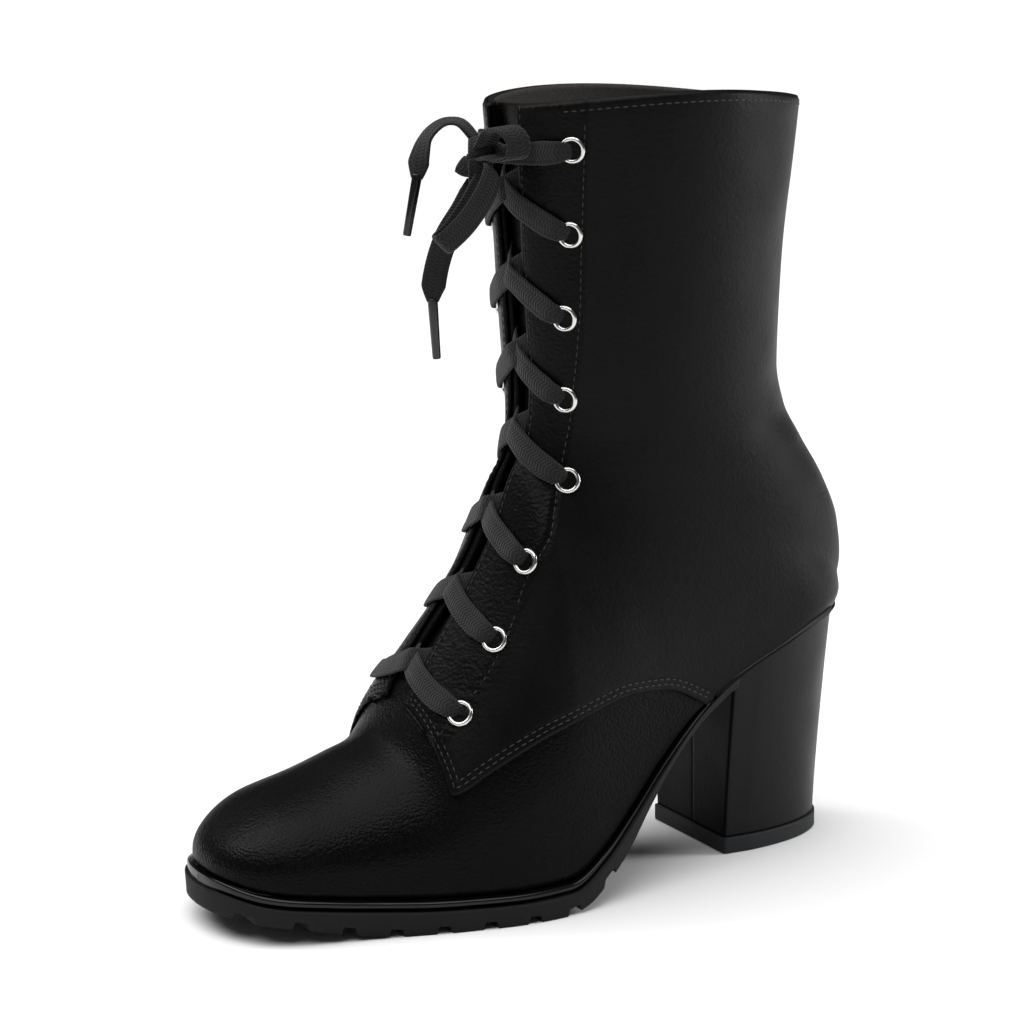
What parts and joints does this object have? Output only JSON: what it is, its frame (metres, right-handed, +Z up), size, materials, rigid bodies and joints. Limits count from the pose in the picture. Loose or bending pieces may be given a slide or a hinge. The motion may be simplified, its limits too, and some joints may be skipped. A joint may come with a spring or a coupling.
{
  "type": "lace up ankle boot",
  "caption": "Heeled lace-up ankle boot for the left foot, with a hollow leather upper, open collar, ringed eyelets, flat lace, lugged sole and a high covered block heel.",
  "frame": {"origin": "middle of the heel top piece's flat bottom, on the floor", "axes": "+Z up the shaft, -Y towards the toe, +X towards the outer side of this left boot"},
  "size_m": [0.0894, 0.2292, 0.252],
  "materials": {
    "vamp_leather": "pebbled, glossy",
    "quarter_leather": "pebbled, glossy",
    "tongue_leather": "fine grain, satin",
    "heel_cover": "smooth, glossy",
    "sole_rubber": "matte",
    "top_piece_rubber": "matte",
    "welt_gloss": "glossy",
    "insole_lining": "matte",
    "nickel": "polished",
    "lace_cotton": "braided, matte",
    "aglet_plastic": "glossy"
  },
  "bodies": {
    "root": {"outsole": "sole_rubber", "welt": "welt_gloss", "insole": "insole_lining", "heel": "heel_cover", "heel_top_piece": "top_piece_rubber", "upper": "vamp_leather", "quarters": "quarter_leather", "tongue": "tongue_leather", "eyelet_outer_1": "nickel", "eyelet_outer_2": "nickel", "eyelet_outer_3": "nickel", "eyelet_outer_4": "nickel", "eyelet_outer_5": "nickel", "eyelet_outer_6": "nickel", "eyelet_outer_7": "nickel", "eyelet_outer_8": "nickel", "eyelet_inner_1": "nickel", "eyelet_inner_2": "nickel", "eyelet_inner_3": "nickel", "eyelet_inner_4": "nickel", "eyelet_inner_5": "nickel", "eyelet_inner_6": "nickel", "eyelet_inner_7": "nickel", "eyelet_inner_8": "nickel", "lace_cross_1": "lace_cotton", "lace_cross_2": "lace_cotton", "lace_cross_3": "lace_cotton", "lace_cross_4": "lace_cotton", "lace_cross_5": "lace_cotton", "lace_cross_6": "lace_cotton", "lace_cross_7": "lace_cotton", "lace_top": "lace_cotton", "lace_knot": "lace_cotton", "lace_loop_left": "lace_cotton", "lace_loop_right": "lace_cotton", "lace_end_left": "lace_cotton", "lace_end_right": "lace_cotton", "aglet_left": "aglet_plastic", "aglet_right": "aglet_plastic"}
  },
  "joints": []
}
